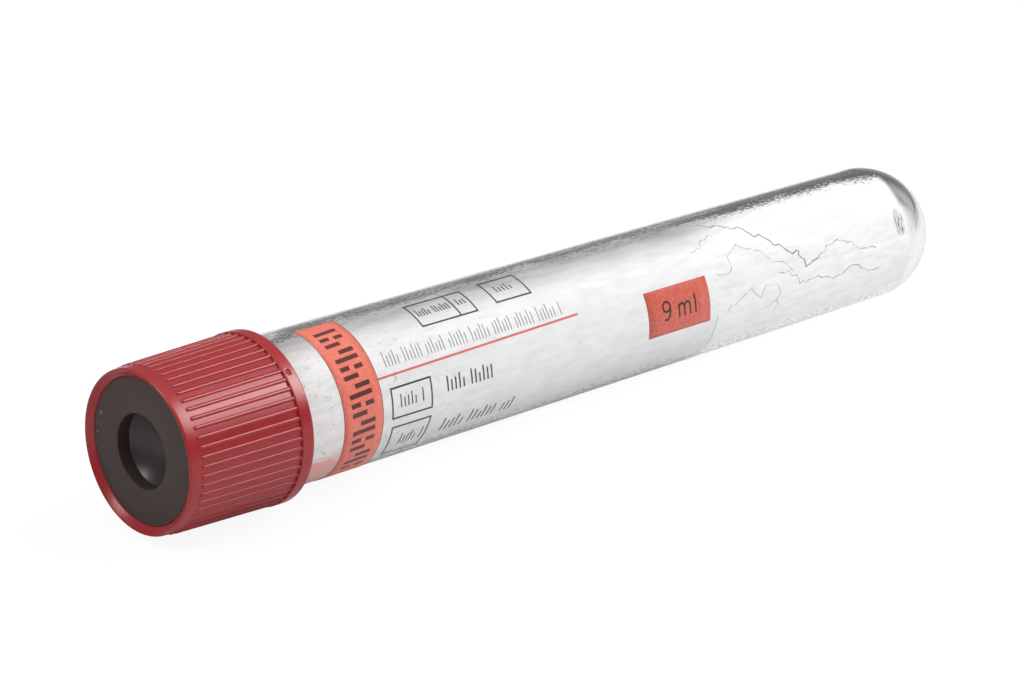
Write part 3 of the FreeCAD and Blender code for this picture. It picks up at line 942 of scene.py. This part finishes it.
def white_sweep():
    """Matt paper sweep: white to the eye, grey in the light it gives back, and glowing where seen through
    clear plastic, white near the tube and dimmer behind it and towards its round end.
    """
    material, tree = new_material("white_sweep")
    path = add(tree, "LightPath").outputs
    paper = add(tree, "BsdfDiffuse", {"Color": linear("#E2E2E2")})
    white = add(tree, "BsdfDiffuse", {"Color": linear("#FAFAFA")})
    glow = add(tree, "Emission", {"Color": WHITE, "Strength": 1.02})
    seen = add(tree, "MixShader", (0.9, white, glow))
    parts = add(tree, "SeparateXYZ", (add(tree, "TexCoord").outputs["Object"],)).outputs
    rearward = add(tree, "MapRange", (parts["Y"], 0.012, 0.045, 0.97, 0.16), **SMOOTH)
    sideways = add(tree, "MapRange", (parts["X"], 0.07, 0.13, 1.0, 0.6), **SMOOTH)
    dimmed = add(tree, "Math", (rearward, sideways), operation="MINIMUM")
    behind = add(tree, "Emission", {"Color": WHITE, "Strength": dimmed})
    mixed = add(tree, "MixShader", (path["Is Camera Ray"], paper, seen))
    mixed = add(tree, "MixShader", (path["Is Transmission Ray"], mixed, behind))
    add(tree, "OutputMaterial", {"Surface": mixed})
    material.cycles.emission_sampling = "NONE"
    return material


def studio_world():
    """A pale studio, brighter overhead, darker low at the back, plain white where it is seen."""
    world = bpy.data.worlds.new("studio")
    world.use_nodes = True
    tree = world.node_tree
    tree.nodes.clear()
    path = add(tree, "LightPath").outputs
    around = add(tree, "TexCoord").outputs["Generated"]
    parts = add(tree, "SeparateXYZ", (around,)).outputs
    back = add(tree, "MapRange", (parts["Y"], 0.1, 0.55), **SMOOTH)
    low = add(tree, "MapRange", (parts["Z"], 0.75, 0.45), **SMOOTH)
    dark = add(tree, "Math", (back, low), operation="MULTIPLY")
    dark = add(tree, "Math", (dark, 0.42), operation="MULTIPLY")
    through = add(tree, "Math", (0.55, dark), operation="SUBTRACT")
    through = add(tree, "Math", (path["Is Transmission Ray"], through), operation="MULTIPLY")
    overhead = add(tree, "Math", (parts["Z"], 0.0), operation="MAXIMUM")
    overhead = add(tree, "Math", (overhead, 4.0), operation="POWER")
    ceiling = add(tree, "Math", (overhead, CEILING, AMBIENT), operation="MULTIPLY_ADD")
    other = add(tree, "Math", (1.0, path["Is Transmission Ray"]), operation="SUBTRACT")
    other = add(tree, "Math", (other, ceiling), operation="MULTIPLY")
    light = add(tree, "Math", (through, other), operation="ADD")
    strength = add(tree, "Math", (light, path["Is Camera Ray"]), operation="MAXIMUM")
    sky = add(tree, "Background", {"Color": WHITE, "Strength": strength})
    add(tree, "OutputWorld", {"Surface": sky})
    return world


def soft_box(name, power, towards, size, distance=0.6):
    """A square soft box in the direction towards, brightest in its middle. Sizes are in metres."""
    lamp = bpy.data.lights.new(name, "AREA")
    lamp.shape, lamp.size, lamp.energy = "SQUARE", size, power
    lamp.use_nodes = True
    tree = lamp.node_tree
    tree.nodes.clear()
    spot = add(tree, "NewGeometry").outputs["Parametric"]
    parts = add(tree, "SeparateXYZ", (spot,)).outputs
    squares = []
    for axis in "YX":
        side = add(tree, "Math", (parts[axis], 0.5), operation="SUBTRACT")
        squares.append(add(tree, "Math", (side, 2.0), operation="POWER"))
    away = add(tree, "Math", squares, operation="ADD")
    away = add(tree, "Math", (away,), operation="SQRT")
    strength = add(tree, "MapRange", (away, 0.5, 0.05, 0.0, SOFT_BOX_PEAK), **SMOOTH)
    glow = add(tree, "Emission", {"Color": WHITE, "Strength": strength})
    add(tree, "OutputLight", {"Surface": glow})
    box = bpy.data.objects.new(name, lamp)
    bpy.context.scene.collection.objects.link(box)
    direction = Vector(towards).normalized()
    box.location = direction * distance
    box.rotation_euler = direction.to_track_quat("Z", "Y").to_euler()
    return box


def build_floor():
    """The white sweep that the tube lies on."""
    size = FLOOR_HALF
    corners = [(-size, -size, 0), (size, -size, 0), (size, size, 0), (-size, size, 0)]
    mesh = bpy.data.meshes.new("floor")
    mesh.from_pydata(corners, [], [(0, 1, 2, 3)])
    mesh.materials.append(white_sweep())
    floor = bpy.data.objects.new("floor", mesh)
    bpy.context.scene.collection.objects.link(floor)


def build_lamps(settings):
    """Two soft boxes, and a third lamp for the closure's highlight.

    The key's mirror image is kept off the clear tube, where it would hide the coat, and is given
    back on the closure by the shine lamp, which lights nothing else.
    """
    key = soft_box("key", settings.key_strength, KEY_PLACE, 0.57)
    key.visible_glossy = key.visible_transmission = False
    shine = soft_box("shine", settings.shine_strength, KEY_PLACE, 0.55, 0.58)
    shine.visible_diffuse = shine.visible_transmission = False
    closure = bpy.data.collections.new("closure_pieces")
    for name in ("ribbed_cap", "needle_ring", "rubber_stopper"):
        closure.objects.link(bpy.data.objects[name])
    shine.light_linking.receiver_collection = closure
    soft_box("fill", settings.fill_strength, FILL_PLACE, 0.36)


def build_camera():
    """A long-lensed camera, held level, that looks down on the near side and the cap."""
    data = bpy.data.cameras.new("camera")
    data.lens, data.sensor_width = CAMERA_LENS, SENSOR_WIDTH
    data.clip_start, data.clip_end = 0.01, 20
    camera = bpy.data.objects.new("camera", data)
    bpy.context.scene.collection.objects.link(camera)
    turn, rise = math.radians(CAMERA_TURN), math.radians(CAMERA_RISE)
    level = math.cos(rise)
    back = Vector((math.sin(turn) * level, -math.cos(turn) * level, math.sin(rise)))
    camera.location = Vector(CAMERA_AIM) * MM + back * CAMERA_DISTANCE * MM
    camera.rotation_euler = back.to_track_quat("Z", "Y").to_euler()
    bpy.context.scene.camera = camera


def build_stage(settings):
    """A white floor and background, soft lamps and the camera."""
    scene = bpy.context.scene
    scene.view_settings.view_transform = "Standard"
    build_floor()
    scene.world = studio_world()
    build_lamps(settings)
    build_camera()


# ---- operators


class OBJECT_OT_tube_wall(bpy.types.Operator):
    """Build the clear wall with its dried and cracked coat"""

    bl_idname = "object.tube_wall"
    bl_label = "Build Clear Wall"

    def execute(self, context):
        build_wall(context.scene.sample_tube)
        build_cracks(context.scene.sample_tube)
        return {"FINISHED"}


class OBJECT_OT_tube_label(bpy.types.Operator):
    """Build the clear film label with its print"""

    bl_idname = "object.tube_label"
    bl_label = "Build Label"

    def execute(self, context):
        build_label(context.scene.sample_tube)
        return {"FINISHED"}


class OBJECT_OT_tube_cap(bpy.types.Operator):
    """Build the ribbed cap, its black ring and the rubber stopper"""

    bl_idname = "object.tube_cap"
    bl_label = "Build Closure"

    def execute(self, context):
        build_cap(context.scene.sample_tube)
        build_seal(context.scene.sample_tube)
        return {"FINISHED"}


class OBJECT_OT_tube_stage(bpy.types.Operator):
    """Build the floor, the light and the camera"""

    bl_idname = "object.tube_stage"
    bl_label = "Build Stage"

    def execute(self, context):
        build_stage(context.scene.sample_tube)
        return {"FINISHED"}


class VIEW3D_PT_tube(bpy.types.Panel):
    """Sizes and build steps of the tube"""

    bl_label = "Blood Collection Tube"
    bl_idname = "VIEW3D_PT_tube"
    bl_space_type = "VIEW_3D"
    bl_region_type = "UI"
    bl_category = "Tube"

    def draw(self, context):
        settings = context.scene.sample_tube
        for name in settings.__annotations__:
            self.layout.prop(settings, name)
        for operator in OPERATORS:
            self.layout.operator(operator.bl_idname)


OPERATORS = (
    OBJECT_OT_tube_wall,
    OBJECT_OT_tube_label,
    OBJECT_OT_tube_cap,
    OBJECT_OT_tube_stage,
)
CLASSES = (TubeSettings, *OPERATORS, VIEW3D_PT_tube)


def register():
    """Make the settings, the operators and the panel known to Blender."""
    for item in CLASSES:
        bpy.utils.register_class(item)
    bpy.types.Scene.sample_tube = bpy.props.PointerProperty(type=TubeSettings)


def unregister():
    """Take them away again."""
    del bpy.types.Scene.sample_tube
    for item in reversed(CLASSES):
        bpy.utils.unregister_class(item)


def main():
    """Build every piece and the stage."""
    register()
    bpy.ops.object.tube_wall()
    bpy.ops.object.tube_label()
    bpy.ops.object.tube_cap()
    bpy.ops.object.tube_stage()


if __name__ == "__main__":
    main()
